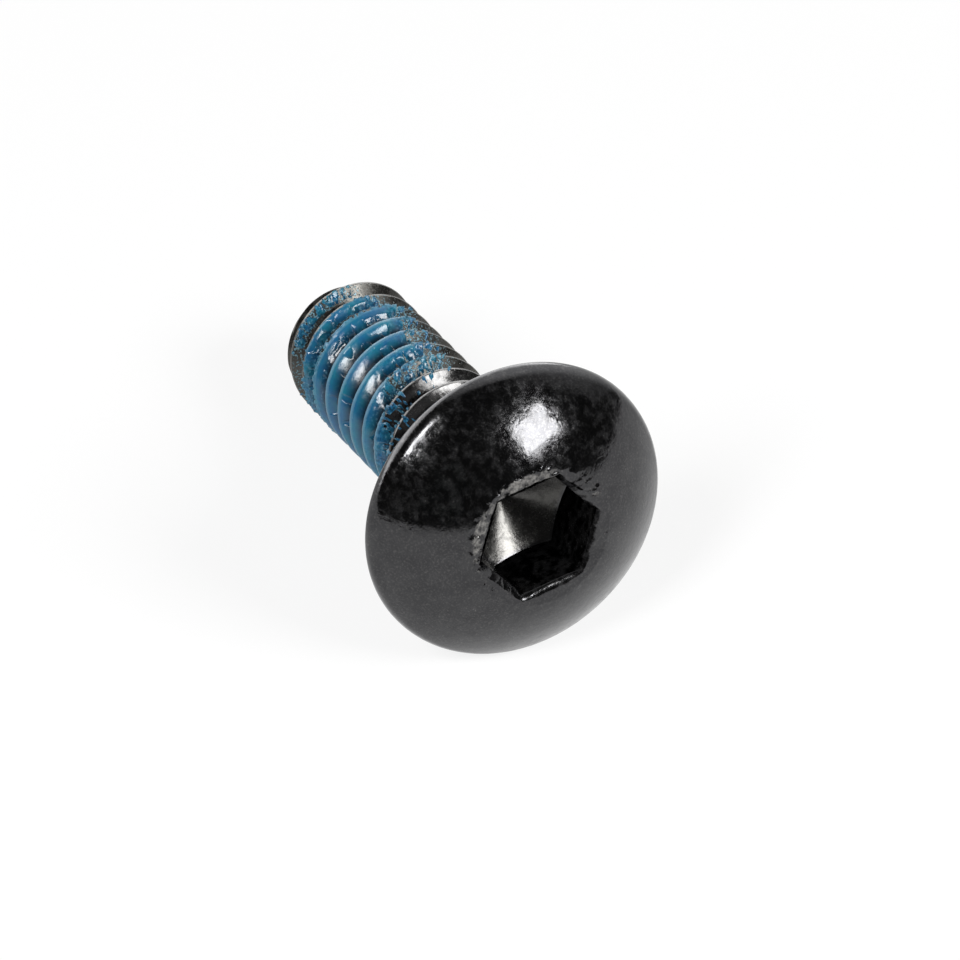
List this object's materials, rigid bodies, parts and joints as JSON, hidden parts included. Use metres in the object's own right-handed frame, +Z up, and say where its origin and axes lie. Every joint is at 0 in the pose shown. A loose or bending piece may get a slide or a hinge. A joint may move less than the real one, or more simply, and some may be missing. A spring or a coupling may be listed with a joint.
{
  "type": "button head socket screw",
  "caption": "Button head machine screw with a hex socket, black steel, coarse rolled thread with a dried blue locking coat, lying on its side.",
  "frame": {"origin": "on the surface it lies on, under the middle of its box", "axes": "+Z up from the surface, +X level and from the tip towards the head; the screw's own axis lies in the XZ plane and rises towards the head"},
  "size_m": [0.0212, 0.0136, 0.0134],
  "materials": {
    "black_steel": "black oxide, satin, slightly mottled",
    "locking_coat": "dried blue thread locker, semi-gloss, speckled at its edges"
  },
  "bodies": {
    "root": {"screw": "black_steel"}
  },
  "joints": []
}
